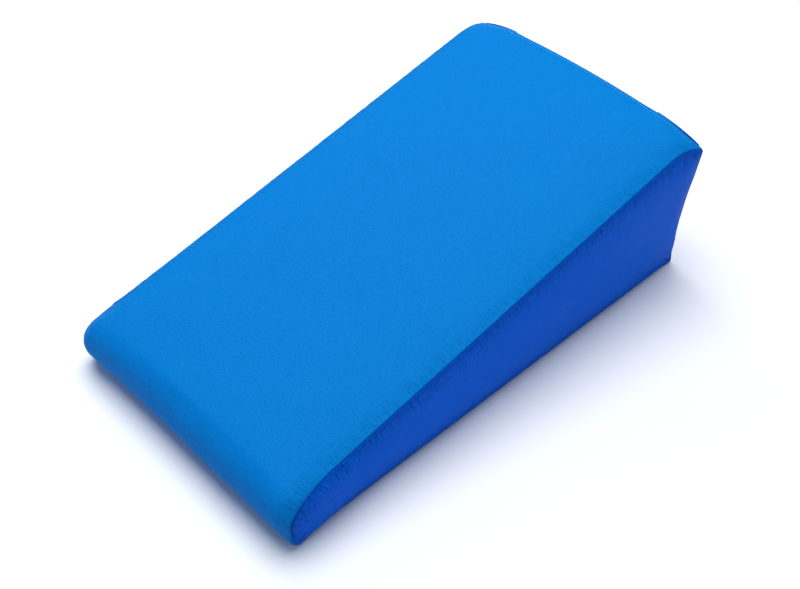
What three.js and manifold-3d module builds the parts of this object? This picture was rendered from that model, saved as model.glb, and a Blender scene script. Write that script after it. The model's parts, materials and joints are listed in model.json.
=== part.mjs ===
// Incline wedge mat: a block of foam in a sewn cover of synthetic leather, with a zip across the thick end.
// Millimetres, +Z up. The origin is the middle of the base: +Y runs up the ramp to the thick end, +X to the right.
import * as THREE from "three";
import * as BufferGeometryUtils from "three/addons/utils/BufferGeometryUtils.js";
import Module from "manifold-3d";

// ---- Driving dimensions
const LENGTH = 550; // nose to thick end
const WIDTH = 300;
const HEIGHT = 171; // at the thick end, along both sides
const NOSE_RADIUS = 30; // the thin end is a full round, twice this thick
const CROWN = 5; // how much the tight cover stands up along the middle of the ramp
const COVER = 1.2; // synthetic leather with its knitted backing
const GAP = 0.3; // between pieces that touch
const SEAM = 2; // width of the sunken groove in which two panels are sewn together
const THREAD = 0.8;

const ZIP_HEIGHT = 45; // centre line of the zip above the floor
const ZIP_WINDOW = 12; // opening between the two back panels
const ZIP_HEM = 12; // turned edge of each back panel along the zip
const TAPE = 0.6;
const TAPE_WIDTH = 16;
const COIL_DEPTH = 2;
const COIL_WIDTH = 2.6;
const COIL_SPACE = 1.2; // between the two coils, where the slider's neck runs
const STOP_INSET = 16; // centre of each end stop, in from the side of the mat
const STOP_LENGTH = 2.5;

const SLIDER_LENGTH = 11;
const SLIDER_WIDTH = 8.6;
const SLIDER_PLATE = 1.2;
const SLIDER_FLANGE = 0.7;
const SLIDER_BASE = 1;
const SLIDER_PLAY = 0.4; // running clearance round the coils
const NECK = 0.6;
const ARCH_LENGTH = 7.2;
const ARCH_HEIGHT = 2.2; // clear opening under the arch
const ARCH_BAR = 0.8;
const ARCH_POST = 1;
const ARCH_WIDTH = 1.4;
const TAB_LENGTH = 22;
const TAB_WIDTH = 6;
const TAB_THICK = 1;

const ACROSS = 12; // facets across the width
const ALONG = 14; // facets up the ramp
const ROUND = 24; // facets round the nose

// ---- Where the layers of the thick end lie, from the outside in
const backFace = LENGTH / 2;
const hemInner = backFace - 2 * COVER;
const tapeOuter = hemInner - GAP;
const tapeInner = tapeOuter - TAPE;
const coilInner = tapeOuter + GAP;
const coilOuter = coilInner + COIL_DEPTH;
const sliderInner = coilOuter + SLIDER_PLAY;
const sliderOuter = sliderInner + SLIDER_PLATE;
const baseOuter = tapeInner - SLIDER_PLAY;
const baseInner = baseOuter - SLIDER_BASE;
const channelFloor = baseInner - SLIDER_PLAY;
const tabAxis = sliderOuter + ARCH_HEIGHT / 2;
const stopAt = WIDTH / 2 - STOP_INSET;
const sliderAt = stopAt - STOP_LENGTH / 2 - 0.5 - SLIDER_LENGTH / 2;

// ---- Colours
const blueLeather = () => new THREE.MeshStandardMaterial({ color: 0x0f72d0, roughness: 0.55, metalness: 0 });
const darkBase = () => new THREE.MeshStandardMaterial({ color: 0x23272c, roughness: 0.8, metalness: 0 });
const paleFoam = () => new THREE.MeshStandardMaterial({ color: 0xe6dfc4, roughness: 0.95, metalness: 0 });
const blueThread = () => new THREE.MeshStandardMaterial({ color: 0x2a86dd, roughness: 0.6, metalness: 0 });
const blueTape = () => new THREE.MeshStandardMaterial({ color: 0x0c4fa0, roughness: 0.9, metalness: 0 });
const blueNylon = () => new THREE.MeshStandardMaterial({ color: 0x0d57ae, roughness: 0.4, metalness: 0 });
const nickel = () => new THREE.MeshStandardMaterial({ color: 0xb9bcc0, roughness: 0.3, metalness: 1 });

const mat = new THREE.Group();

function addPart(name, geometry, material) {
  const part = new THREE.Mesh(geometry, material);
  part.name = name;
  mat.add(part);
  return part;
}

// ---- Side view: a flat base, an upright back, and a ramp that leaves the back's top edge and meets the round nose
const noseY = -LENGTH / 2 + NOSE_RADIUS;
const noseZ = NOSE_RADIUS;
const reach = new THREE.Vector2(backFace - noseY, HEIGHT - noseZ);
const rampAngle = reach.angle() - Math.asin(NOSE_RADIUS / reach.length());
const roundStart = -Math.PI / 2; // nose angles are measured from the nose's centre, -90 degrees being straight down
const roundEnd = -Math.PI * 1.5 + rampAngle;

function nosePoint(angle) {
  const ny = Math.cos(angle);
  const nz = Math.sin(angle);
  return { y: noseY + NOSE_RADIUS * ny, z: noseZ + NOSE_RADIUS * nz, ny, nz };
}

// Points with their outward normals, from under the nose, round it and up the ramp.
function topRun(startAngle, cutBack) {
  const run = [];
  for (let i = 0; i <= ROUND; i++) {
    run.push(nosePoint(startAngle + ((roundEnd - startAngle) * i) / ROUND));
  }
  const foot = run[ROUND];
  const rampLength = (backFace - foot.y) / Math.cos(rampAngle) - cutBack;
  for (let i = 1; i <= ALONG; i++) {
    const s = (rampLength * i) / ALONG;
    run.push({
      y: foot.y + s * Math.cos(rampAngle),
      z: foot.z + s * Math.sin(rampAngle),
      ny: foot.ny,
      nz: foot.nz,
    });
  }
  return run;
}

// The closed side outline, moved in by inset all round.
function outline(inset) {
  const run = topRun(roundStart, 0);
  const points = run.map((p) => new THREE.Vector2(p.y - inset * p.ny, p.z - inset * p.nz));
  const last = points[points.length - 1];
  const overrun = (last.x - (backFace - inset)) / Math.cos(rampAngle);
  last.x -= overrun * Math.cos(rampAngle);
  last.y -= overrun * Math.sin(rampAngle);
  return points;
}

function rampHeight(y) {
  const foot = nosePoint(roundEnd);
  if (y >= foot.y) {
    return foot.z + (y - foot.y) * Math.tan(rampAngle);
  }
  const out = Math.min(NOSE_RADIUS, Math.abs(y - noseY));
  return noseZ + Math.sqrt(NOSE_RADIUS * NOSE_RADIUS - out * out);
}

// Lifts the ramp along its middle. The lift fades to nothing at the sides, at the nose and down towards the floor.
function swell(geometry) {
  const points = geometry.attributes.position;
  for (let i = 0; i < points.count; i++) {
    const x = points.getX(i);
    const y = points.getY(i);
    const z = points.getZ(i);
    const acrossFade = 1 - Math.min(1, (2 * x) / WIDTH * ((2 * x) / WIDTH));
    const alongFade = THREE.MathUtils.smoothstep(y, -LENGTH / 2, -LENGTH / 6);
    const downFade = Math.pow(Math.max(0, z) / rampHeight(y), 4);
    points.setZ(i, z + CROWN * acrossFade * alongFade * downFade);
  }
  geometry.computeVertexNormals();
  return geometry;
}

// Wraps a slab round the run: from x0 to x1 across, and from one inset to another through its thickness.
function wrapped(run, x0, x1, outer, inner, across) {
  const geometry = new THREE.BoxGeometry(1, 1, 1, across, run.length - 1, 1);
  const points = geometry.attributes.position;
  for (let i = 0; i < points.count; i++) {
    const station = run[Math.round((points.getY(i) + 0.5) * (run.length - 1))];
    const inset = points.getZ(i) > 0 ? outer : inner;
    const x = x0 + (points.getX(i) + 0.5) * (x1 - x0);
    points.setXYZ(i, x, station.y - inset * station.ny, station.z - inset * station.nz);
  }
  geometry.computeVertexNormals();
  return geometry;
}

// Pushes a shape drawn in side view (Y, Z) along X.
function acrossMat(shape, x0, x1, steps) {
  const geometry = new THREE.ExtrudeGeometry(shape, { depth: x1 - x0, steps, bevelEnabled: false });
  const turn = new THREE.Matrix4().makeBasis(
    new THREE.Vector3(0, 1, 0),
    new THREE.Vector3(0, 0, 1),
    new THREE.Vector3(1, 0, 0),
  );
  geometry.applyMatrix4(turn);
  geometry.translate(x0, 0, 0);
  return geometry;
}

function block(low, high, across = 1) {
  const size = new THREE.Vector3().subVectors(high, low);
  const geometry = new THREE.BoxGeometry(size.x, size.y, size.z, across, 1, 1);
  geometry.translate((low.x + high.x) / 2, (low.y + high.y) / 2, (low.z + high.z) / 2);
  return geometry;
}

const at = (x, y, z) => new THREE.Vector3(x, y, z);

// ---- Booleans
const wasm = await Module();
wasm.setup();

function solid(geometry) {
  const bare = geometry.clone();
  bare.deleteAttribute("normal");
  bare.deleteAttribute("uv");
  const merged = BufferGeometryUtils.mergeVertices(bare, 1e-4);
  return new wasm.Manifold(
    new wasm.Mesh({
      numProp: 3,
      vertProperties: new Float32Array(merged.attributes.position.array),
      triVerts: new Uint32Array(merged.index.array),
    }),
  );
}

function fused(geometries) {
  const whole = geometries.map(solid).reduce((sum, next) => sum.add(next));
  const result = whole.getMesh();
  const geometry = new THREE.BufferGeometry();
  geometry.setAttribute("position", new THREE.BufferAttribute(new Float32Array(result.vertProperties), 3));
  geometry.setIndex(new THREE.BufferAttribute(new Uint32Array(result.triVerts), 1));
  geometry.computeVertexNormals();
  return geometry;
}

// ---- Foam core: one wedge of foam, pressed in along the zip so that the slider has room to run
function foamCore() {
  const inset = COVER + GAP;
  const half = ZIP_WINDOW / 2 + ZIP_HEM + 3;
  const points = outline(inset);
  const back = backFace - inset;
  points.push(new THREE.Vector2(back, ZIP_HEIGHT + half));
  points.push(new THREE.Vector2(channelFloor, ZIP_HEIGHT + half - 2));
  points.push(new THREE.Vector2(channelFloor, ZIP_HEIGHT - half + 2));
  points.push(new THREE.Vector2(back, ZIP_HEIGHT - half));
  points.push(new THREE.Vector2(back, inset));
  points.reverse();
  const side = WIDTH / 2 - inset;
  return swell(acrossMat(new THREE.Shape(points), -side, side, ACROSS));
}

// ---- Top panel: one piece of cover that starts under the nose, goes round it and up the ramp to the back edge
const panelRun = topRun(roundStart - SEAM / NOSE_RADIUS, SEAM);
const panelSide = WIDTH / 2 - SEAM;

function topPanel() {
  return swell(wrapped(panelRun, -panelSide, panelSide, 0, COVER, ACROSS));
}

// ---- Side panels: flat wedges, sewn to the top panel, the base and the back
function sidePanel(x0) {
  const points = outline(SEAM);
  points.push(new THREE.Vector2(backFace - SEAM, SEAM));
  points.reverse();
  return acrossMat(new THREE.Shape(points), x0, x0 + COVER, 1);
}

// ---- Back panels: one above and one below the zip, each with its edge turned in along the zip
const backTop = HEIGHT - SEAM - 0.2;
const backBottom = SEAM + 0.2;

function backPanel(hemEdge, farEdge) {
  const toFar = Math.sign(farEdge - hemEdge);
  const inner = backFace - COVER;
  const corners = [
    [backFace, hemEdge],
    [backFace, farEdge],
    [inner, farEdge],
    [inner, hemEdge + toFar * ZIP_HEM],
    [hemInner, hemEdge + toFar * ZIP_HEM],
    [hemInner, hemEdge],
  ];
  const points = corners.map(([y, z]) => new THREE.Vector2(y, z));
  if (toFar < 0) {
    points.reverse();
  }
  return swell(acrossMat(new THREE.Shape(points), -panelSide, panelSide, ACROSS));
}

// ---- Base panel: the flat non-slip underside
function basePanel() {
  return block(at(-panelSide, noseY, 0), at(panelSide, backFace - SEAM, COVER));
}

// ---- Seam threads: each lies in the groove between two panels
const threadFar = WIDTH / 2 - 0.5;
const threadNear = threadFar - THREAD;
const threadInset = 0.5;

function sideSeam(x0) {
  return swell(wrapped(panelRun, x0, x0 + THREAD, threadInset, threadInset + THREAD, 1));
}

function backTopSeam() {
  const y = backFace - threadInset;
  const z = HEIGHT - 0.7;
  return swell(block(at(-panelSide, y - THREAD, z - THREAD), at(panelSide, y, z), ACROSS));
}

function backCornerSeam(x0) {
  const y = backFace - threadInset;
  return block(at(x0, y - THREAD, backBottom), at(x0 + THREAD, y, backTop - 0.5));
}

function baseSeam() {
  const front = noseY - 1.4;
  const rear = backFace - threadInset;
  const ring = new THREE.Shape();
  ring.moveTo(-threadFar, front);
  ring.lineTo(threadFar, front);
  ring.lineTo(threadFar, rear);
  ring.lineTo(-threadFar, rear);
  ring.closePath();
  const hole = new THREE.Path();
  hole.moveTo(-threadNear, front + THREAD);
  hole.lineTo(-threadNear, rear - THREAD);
  hole.lineTo(threadNear, rear - THREAD);
  hole.lineTo(threadNear, front + THREAD);
  hole.closePath();
  ring.holes.push(hole);
  const geometry = new THREE.ExtrudeGeometry(ring, { depth: THREAD, bevelEnabled: false });
  return geometry.translate(0, 0, 0.35);
}

// ---- Rows of visible stitching, standing on the cover: along the top back edge and along both sides of the zip
const STITCH_DEPTH = 0.4;
const STITCH_ROW = 5; // top stitching, in from the back edge

function topStitching() {
  const lift = -GAP;
  const end = panelRun[panelRun.length - 1];
  const place = (back) => ({
    y: end.y - back * Math.cos(rampAngle),
    z: end.z - back * Math.sin(rampAngle),
    ny: end.ny,
    nz: end.nz,
  });
  const row = [place(STITCH_ROW + 0.6), place(STITCH_ROW)];
  return swell(wrapped(row, 4 - panelSide, panelSide - 4, lift - STITCH_DEPTH, lift, ACROSS));
}

function zipStitching(side) {
  const z = ZIP_HEIGHT + side * (ZIP_WINDOW / 2 + 3);
  const y = backFace + GAP;
  return block(at(4 - panelSide, y, z - 0.3), at(panelSide - 4, y + STITCH_DEPTH, z + 0.3));
}

// ---- Zip: two tapes, a coil on each, a stop at each end, and the slider with its pull tab
const tapeEnd = panelSide - 1;

function zipTape(side) {
  const inner = ZIP_HEIGHT + (side * COIL_SPACE) / 2;
  const outer = inner + side * TAPE_WIDTH;
  const low = Math.min(inner, outer);
  return block(at(-tapeEnd, tapeInner, low), at(tapeEnd, tapeOuter, low + TAPE_WIDTH));
}

function zipCoil(side) {
  const geometry = new THREE.CylinderGeometry(0.5, 0.5, 2 * stopAt - STOP_LENGTH - 2 * GAP, 10);
  geometry.rotateZ(Math.PI / 2);
  geometry.scale(1, COIL_DEPTH, COIL_WIDTH);
  const z = ZIP_HEIGHT + (side * (COIL_SPACE + COIL_WIDTH)) / 2;
  return geometry.translate(0, (coilInner + coilOuter) / 2, z);
}

function zipStop(x) {
  const half = COIL_SPACE / 2 + COIL_WIDTH + 0.4;
  const low = coilInner;
  const high = coilOuter + 0.3;
  const wall = 0.7;
  const corners = [
    [low, half],
    [low, half + wall],
    [high + wall, half + wall],
    [high + wall, -half - wall],
    [low, -half - wall],
    [low, -half],
    [high, -half],
    [high, half],
  ];
  const points = corners.map(([y, z]) => new THREE.Vector2(y, ZIP_HEIGHT + z));
  return acrossMat(new THREE.Shape(points), x - STOP_LENGTH / 2, x + STOP_LENGTH / 2, 1);
}

function zipSlider() {
  const half = SLIDER_WIDTH / 2;
  const x0 = sliderAt - SLIDER_LENGTH / 2;
  const x1 = sliderAt + SLIDER_LENGTH / 2;
  const flangeLow = tapeOuter + SLIDER_PLAY;
  const top = block(at(x0, sliderInner, ZIP_HEIGHT - half), at(x1, sliderOuter, ZIP_HEIGHT + half));
  const flanges = [-half, half - SLIDER_FLANGE].map((z) =>
    block(
      at(x0, flangeLow, ZIP_HEIGHT + z),
      at(x1, sliderOuter - 0.2, ZIP_HEIGHT + z + SLIDER_FLANGE),
    ),
  );
  const base = block(at(x0 + 0.5, baseInner, ZIP_HEIGHT - half + 0.3), at(x1 - 0.5, baseOuter, ZIP_HEIGHT + half - 0.3));
  const neck = block(
    at(x1 - 4, baseOuter - 0.3, ZIP_HEIGHT - NECK / 2),
    at(x1 - 1, sliderInner + 0.3, ZIP_HEIGHT + NECK / 2),
  );
  return fused([top, ...flanges, base, neck, sliderArch()]);
}

// The arch on the slider's outside, under which the pull tab's cross bar is caught.
function sliderArch() {
  const foot = sliderOuter - 0.3;
  const opening = sliderOuter + ARCH_HEIGHT;
  const crest = opening + ARCH_BAR;
  const outer = ARCH_LENGTH / 2;
  const inner = outer - ARCH_POST;
  const arch = new THREE.Shape();
  arch.moveTo(-outer, foot);
  arch.lineTo(-inner, foot);
  arch.lineTo(-inner, opening);
  arch.lineTo(inner, opening);
  arch.lineTo(inner, foot);
  arch.lineTo(outer, foot);
  arch.lineTo(outer, opening);
  arch.quadraticCurveTo(outer, crest, inner, crest);
  arch.lineTo(-inner, crest);
  arch.quadraticCurveTo(-outer, crest, -outer, opening);
  const geometry = new THREE.ExtrudeGeometry(arch, { depth: ARCH_WIDTH, bevelEnabled: false, curveSegments: 4 });
  return geometry.translate(sliderAt, 0, ZIP_HEIGHT - ARCH_WIDTH / 2);
}

// The pull tab lies along the closed zip. Its narrow end is a ring round the arch, and its round end has a hole.
function pullTab() {
  const bar = TAB_THICK / 2;
  const neckHalf = 2.1;
  const half = TAB_WIDTH / 2;
  const tab = new THREE.Shape();
  tab.moveTo(bar, -neckHalf);
  tab.lineTo(bar, neckHalf);
  tab.lineTo(-5.2, neckHalf);
  tab.lineTo(-8, half);
  tab.lineTo(-TAB_LENGTH + half, half);
  tab.absarc(-TAB_LENGTH + half, 0, half, Math.PI / 2, Math.PI * 1.5, false);
  tab.lineTo(-8, -half);
  tab.lineTo(-5.2, -neckHalf);
  tab.closePath();
  const window = new THREE.Path();
  window.moveTo(-bar, -1.1);
  window.lineTo(-4.6, -1.1);
  window.lineTo(-4.6, 1.1);
  window.lineTo(-bar, 1.1);
  window.closePath();
  const eye = new THREE.Path();
  eye.absarc(-TAB_LENGTH + half, 0, 1.3, 0, Math.PI * 2, true);
  tab.holes.push(window, eye);
  const geometry = new THREE.ExtrudeGeometry(tab, { depth: TAB_THICK, bevelEnabled: false, curveSegments: 10 });
  geometry.translate(0, 0, -TAB_THICK / 2);
  geometry.rotateX(-Math.PI / 2);
  return geometry.translate(sliderAt, tabAxis, ZIP_HEIGHT);
}

// ---- The mat, from the inside out
addPart("foam_core", foamCore(), paleFoam());
addPart("base_panel", basePanel(), darkBase());
addPart("top_panel", topPanel(), blueLeather());
addPart("right_side_panel", sidePanel(WIDTH / 2 - COVER), blueLeather());
addPart("left_side_panel", sidePanel(-WIDTH / 2), blueLeather());
addPart("back_panel_upper", backPanel(ZIP_HEIGHT + ZIP_WINDOW / 2, backTop), blueLeather());
addPart("back_panel_lower", backPanel(ZIP_HEIGHT - ZIP_WINDOW / 2, backBottom), blueLeather());

addPart("right_seam_thread", sideSeam(threadNear), blueThread());
addPart("left_seam_thread", sideSeam(-threadFar), blueThread());
addPart("back_top_seam_thread", backTopSeam(), blueThread());
addPart("back_right_seam_thread", backCornerSeam(threadNear), blueThread());
addPart("back_left_seam_thread", backCornerSeam(-threadFar), blueThread());
addPart("base_seam_thread", baseSeam(), blueThread());
addPart("back_edge_topstitching", topStitching(), blueThread());

for (const [name, side] of [["upper", 1], ["lower", -1]]) {
  addPart(`zip_tape_${name}`, zipTape(side), blueTape());
  addPart(`zip_coil_${name}`, zipCoil(side), blueNylon());
  addPart(`zip_stitching_${name}`, zipStitching(side), blueThread());
}
addPart("zip_stop_right", zipStop(stopAt), nickel());
addPart("zip_stop_left", zipStop(-stopAt), nickel());
addPart("zip_slider", zipSlider(), nickel());
addPart("zip_pull_tab", pullTab(), nickel());

export default mat;
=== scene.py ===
import json
from math import asin, atan2, cos, exp, hypot, pi, radians, sin, tan

import bpy
from mathutils import Matrix, Quaternion, Vector, noise
from mathutils.bvhtree import BVHTree
from mathutils.kdtree import KDTree

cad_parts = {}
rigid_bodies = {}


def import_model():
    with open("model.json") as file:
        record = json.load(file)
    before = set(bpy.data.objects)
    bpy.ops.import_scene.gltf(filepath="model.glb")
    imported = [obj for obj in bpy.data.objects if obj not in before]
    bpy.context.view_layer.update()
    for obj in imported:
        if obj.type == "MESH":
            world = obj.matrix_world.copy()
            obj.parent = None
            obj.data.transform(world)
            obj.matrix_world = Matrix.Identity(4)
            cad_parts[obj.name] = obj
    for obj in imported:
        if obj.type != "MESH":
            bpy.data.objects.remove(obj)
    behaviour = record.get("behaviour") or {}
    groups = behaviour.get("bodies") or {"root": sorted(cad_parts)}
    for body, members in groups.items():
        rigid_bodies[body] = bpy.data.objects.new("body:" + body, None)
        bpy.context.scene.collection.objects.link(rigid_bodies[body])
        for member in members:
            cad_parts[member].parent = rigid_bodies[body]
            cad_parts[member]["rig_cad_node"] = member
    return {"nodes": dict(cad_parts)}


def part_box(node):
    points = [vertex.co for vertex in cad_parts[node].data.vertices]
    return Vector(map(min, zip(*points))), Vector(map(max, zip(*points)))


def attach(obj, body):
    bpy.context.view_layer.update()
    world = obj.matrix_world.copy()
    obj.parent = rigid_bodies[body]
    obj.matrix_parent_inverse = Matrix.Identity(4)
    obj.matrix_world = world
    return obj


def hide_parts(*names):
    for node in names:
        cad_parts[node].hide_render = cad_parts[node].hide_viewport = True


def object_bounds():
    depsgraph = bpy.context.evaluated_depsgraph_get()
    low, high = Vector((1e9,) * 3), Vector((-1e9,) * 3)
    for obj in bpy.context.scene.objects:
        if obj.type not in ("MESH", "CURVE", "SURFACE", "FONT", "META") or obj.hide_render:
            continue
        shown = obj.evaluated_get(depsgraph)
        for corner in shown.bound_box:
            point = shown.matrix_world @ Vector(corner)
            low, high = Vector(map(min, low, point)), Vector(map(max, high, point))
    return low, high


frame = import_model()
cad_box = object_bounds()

# ---- Camera
# A view of the cushion on the floor, from its front right and above, looking down on the ramp. The camera
# aims at a point a little off the middle of the CAD box.
AIM_OFFSET = Vector((0.0302, -0.0197, -0.0278))
AZIMUTH = radians(46.12)
ELEVATION = radians(45.27)
ROLL = radians(0.82)
DISTANCE = 1.2518
LENS = 56.59

aim = (cad_box[0] + cad_box[1]) / 2 + AIM_OFFSET
back = Vector((sin(AZIMUTH) * cos(ELEVATION), -cos(AZIMUTH) * cos(ELEVATION), sin(ELEVATION)))
bpy.ops.object.camera_add(location=aim + back * DISTANCE)
camera = bpy.context.object
camera.rotation_mode = "QUATERNION"
camera.rotation_quaternion = (-back).to_track_quat("-Z", "Y") @ Quaternion((0, 0, 1), ROLL)
camera.data.lens = LENS
camera.data.sensor_width = 36
bpy.context.scene.camera = camera


# ---- Shader maths, used by every material from here on
# A socket that Python's operators work on: an expression on sockets adds the Math nodes that work it out. Any
# other node comes from node(), with its settings first and then the values or links of its sockets.
class Shade:
    def __init__(self, tree, socket=None):
        self.tree = tree
        self.socket = socket

    def node(self, kind, settings=None, sockets=None, out=0):
        made = self.tree.nodes.new(kind)
        for name, value in (settings or {}).items():
            if name == "stops":
                ramp = made.color_ramp
                for stop, (place, colour) in zip(ramp.elements, value):
                    stop.position = place
                    stop.color = (*colour, 1)
            else:
                setattr(made, name, value)
        for name, value in (sockets or {}).items():
            if isinstance(value, Shade):
                self.tree.links.new(value.socket, made.inputs[name])
            else:
                made.inputs[name].default_value = value
        return Shade(self.tree, made.outputs[out])

    def math(self, operation, a, b=0.0):
        return self.node("ShaderNodeMath", {"operation": operation}, {0: a, 1: b})

    def __add__(self, other):
        return self.math("ADD", self, other)

    def __radd__(self, other):
        return self.math("ADD", other, self)

    def __sub__(self, other):
        return self.math("SUBTRACT", self, other)

    def __rsub__(self, other):
        return self.math("SUBTRACT", other, self)

    def __mul__(self, other):
        return self.math("MULTIPLY", self, other)

    def __rmul__(self, other):
        return self.math("MULTIPLY", other, self)

    def limited(self, low, high):
        return self.math("MINIMUM", self.math("MAXIMUM", self, low), high)

    def place(self):
        return self.node("ShaderNodeTexCoord", out=3)

    def noise(self, where, scale, detail=2.0, rough=0.5):
        sockets = {"Vector": where, "Scale": scale, "Detail": detail, "Roughness": rough}
        return self.node("ShaderNodeTexNoise", None, sockets)

    def mix(self, factor, one, other):
        sockets = {"Factor": factor, 6: one, 7: other}
        return self.node("ShaderNodeMix", {"data_type": "RGBA"}, sockets, out=2)

    def bump(self, height, distance, strength=1.0, normal=None):
        sockets = {"Height": height, "Distance": distance, "Strength": strength}
        if normal is not None:
            sockets["Normal"] = normal
        return self.node("ShaderNodeBump", None, sockets)


def new_material(name):
    material = bpy.data.materials.new(name)
    material.use_nodes = True
    tree = material.node_tree
    surface = tree.nodes["Principled BSDF"]
    return material, Shade(tree), surface


def wire(shade, surface, **links):
    for name, value in links.items():
        socket = surface.inputs[name.replace("_", " ")]
        if isinstance(value, Shade):
            shade.tree.links.new(value.socket, socket)
        else:
            socket.default_value = value


def select_only(piece):
    bpy.ops.object.select_all(action="DESELECT")
    piece.select_set(True)
    bpy.context.view_layer.objects.active = piece


# ---- Floor and light
# A pale studio floor that reaches out of sight, with one wide soft light overhead, a weaker one on each side,
# and a low bluish one in front.
FLOOR_SIZE = 12
FLOOR_GAP = 0.0004

bpy.ops.mesh.primitive_plane_add(size=FLOOR_SIZE, location=(0, 0, -FLOOR_GAP))
floor = bpy.context.object
floor.name = "floor"
floor_paint, shade, surface = new_material("pale_floor")
mottle = shade.noise(shade.place(), 3.0)
floor_colour = shade.mix(mottle, (0.82, 0.825, 0.83, 1), (0.85, 0.85, 0.85, 1))
wire(shade, surface, Base_Color=floor_colour, Roughness=0.8)
floor.data.materials.append(floor_paint)


def soft_light(name, where, towards, size, watts, colour):
    bpy.ops.object.light_add(type="AREA", location=where)
    light = bpy.context.object
    light.name = name
    light.data.shape = "DISK"
    light.data.size = size
    light.data.energy = watts
    light.data.color = colour
    light.rotation_mode = "QUATERNION"
    light.rotation_quaternion = (Vector(towards) - Vector(where)).to_track_quat("-Z", "Y")


soft_light("overhead_light", (-0.45, 0.25, 2.3), (0, 0, 0.05), 2.2, 70, (1.0, 1.0, 1.0))
soft_light("left_light", (-2.0, 0.6, 1.5), (0, 0, 0.1), 1.2, 8, (1.0, 1.0, 1.0))
soft_light("right_light", (1.9, 0.2, 1.1), (0, 0, 0.1), 1.4, 5, (0.86, 0.92, 1.0))
soft_light("front_light", (-0.7, -2.1, 0.6), (0, -0.2, 0.05), 1.2, 6, (0.35, 0.5, 1.0))

room = bpy.data.worlds.new("studio")
room.use_nodes = True
room.node_tree.nodes["Background"].inputs["Color"].default_value = (0.58, 0.74, 1, 1)
room.node_tree.nodes["Background"].inputs["Strength"].default_value = 0.32
bpy.context.scene.world = room
bpy.context.scene.view_settings.view_transform = "Standard"

# ---- Form of the cushion
# The sewn cover has five faces: the ramp with the round nose, two sides, the back and the base. They are laid
# out as grids that meet at the seams, then blown up by cloth simulation with the seams held.
FULL = 0.0011
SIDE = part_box("right_side_panel")[1].x + FULL
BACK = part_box("back_panel_upper")[1].y + FULL
NOSE_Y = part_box("base_panel")[0].y
NOSE_R = NOSE_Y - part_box("top_panel")[0].y
RIDGE_INSET = 0.0008
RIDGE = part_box("back_top_seam_thread")[0].z + 2 * RIDGE_INSET
WINDOW_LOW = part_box("back_panel_lower")[1].z
WINDOW_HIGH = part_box("back_panel_upper")[0].z

# The two upper back corners stand out as small pointed ears.
EAR_DROP = 0.0145
EAR_FLARE = 0.0046
EAR_BACK = 0.007
EAR_RUN = 0.0376
EAR_SPREAD = 0.05
EAR_POINT = 2.2
EAR_EDGE = 1.5

# The ramp rises from its seams to a full, crowned middle.
SHOULDER = 0.0064
SHOULDER_WIDTH = 0.021
SEAM_DROP = 0.0026
SHOULDER_AT = 0.04
SHOULDER_RUN = 0.05
BACK_CROWN = 0.0066
BACK_BULGE = 0.0022
BULGE_RUN = 0.03

# The nose, with places along it measured from its seam underneath: drawn in at its lower front, wider than
# the ramp, pulled in along its side seams, and with a heel at the foot of each of them.
NOSE_TUCK = 0.0032
TUCK_AT = 0.035
TUCK_WIDTH = 0.022
TUCK_START = 0.012
NOSE_PULL = 0.007
PULL_AT = 0.014
PULL_RUN = 0.034
NOSE_ROLL = 0.017
NOSE_PUFF = 0.0055
PUFF_RUN = 0.02
NOSE_END = 0.06
NOSE_FADE = 0.065
NOSE_HEEL = 0.0043
HEEL_AT = 0.017
HEEL_WIDTH = 0.009
HEEL_START = 0.006

# The sides swell a little, and the back is drawn in between its ends.
SIDE_SWELL = 0.005
SIDE_SHOULDER = 0.017
SIDE_FOOT = 0.045
FRONT_COLUMNS = 4
FRONT_BEND = 0.09
BACK_BEND = 0.06
BACK_HOLLOW = 0.0016
LEAN_FROM = 0.3
ZIP_END = 0.139

EDGE_BAND = (0.0, 0.0013, 0.003, 0.0055, 0.009, 0.014, 0.02)
BAND = EDGE_BAND[-1]
CELL = 0.0062
CELLS_ACROSS = 14

reach_y = BACK - NOSE_Y
reach_z = RIDGE - NOSE_R
SLOPE = atan2(reach_z, reach_y) - asin(NOSE_R / hypot(reach_y, reach_z))
FOOT_Y = NOSE_Y - NOSE_R * sin(SLOPE)
FOOT_Z = NOSE_R + NOSE_R * cos(SLOPE)
RAMP_LENGTH = (BACK - FOOT_Y) / cos(SLOPE)
NOSE_RUN = NOSE_R * (pi - SLOPE)
OUTLINE = NOSE_RUN + RAMP_LENGTH


def smooth(t):
    t = min(1.0, max(0.0, t))
    return t * t * (3 - 2 * t)


def bell(t):
    return exp(-(t**2))


def fall(distance, reach):
    """From 1 at no distance evenly down to 0 at the reach."""
    return max(0.0, 1 - distance / reach)


def outline(s):
    """A point of the side outline and its outward normal, s metres from under the nose and up the ramp."""
    if s < NOSE_RUN:
        angle = -pi / 2 - s / NOSE_R
        return NOSE_Y + NOSE_R * cos(angle), NOSE_R + NOSE_R * sin(angle), cos(angle), sin(angle)
    up = s - NOSE_RUN
    return FOOT_Y + up * cos(SLOPE), FOOT_Z + up * sin(SLOPE), -sin(SLOPE), cos(SLOPE)


def even(start, stop, cell):
    count = max(1, round((stop - start) / cell))
    return [start + (stop - start) * n / count for n in range(1, count + 1)]


def banded(length, shares):
    """Rows across a length: close together near both ends, and at the given shares of what is between."""
    squeeze = min(1.0, length / (3 * BAND))
    band = [d * squeeze for d in EDGE_BAND]
    inner = [band[-1] + (length - 2 * band[-1]) * share for share in shares]
    return band + inner + [length - d for d in reversed(band)]


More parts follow.
